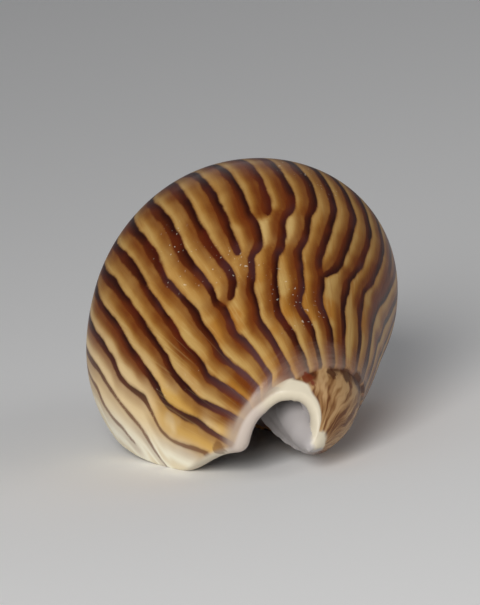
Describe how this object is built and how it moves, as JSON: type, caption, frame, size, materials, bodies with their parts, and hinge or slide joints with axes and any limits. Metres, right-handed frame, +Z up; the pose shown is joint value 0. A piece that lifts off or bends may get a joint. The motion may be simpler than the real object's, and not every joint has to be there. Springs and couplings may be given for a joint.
{
  "type": "volute shell",
  "caption": "Right-handed volute sea snail shell with a short spire, a large striped body whorl, a thick outer lip, a notched front end and a plaited columella, lying on its aperture.",
  "frame": {"origin": "middle of the shell's bounding box in X and Y, at the surface it lies on", "axes": "+Y from the siphonal notch towards the apex of the spire, +Z up, the outer lip on the -X side"},
  "size_m": [0.026, 0.039, 0.0217],
  "materials": {
    "shell": "glossy, striped"
  },
  "bodies": {
    "root": {"volute_shell": "shell"}
  },
  "joints": []
}
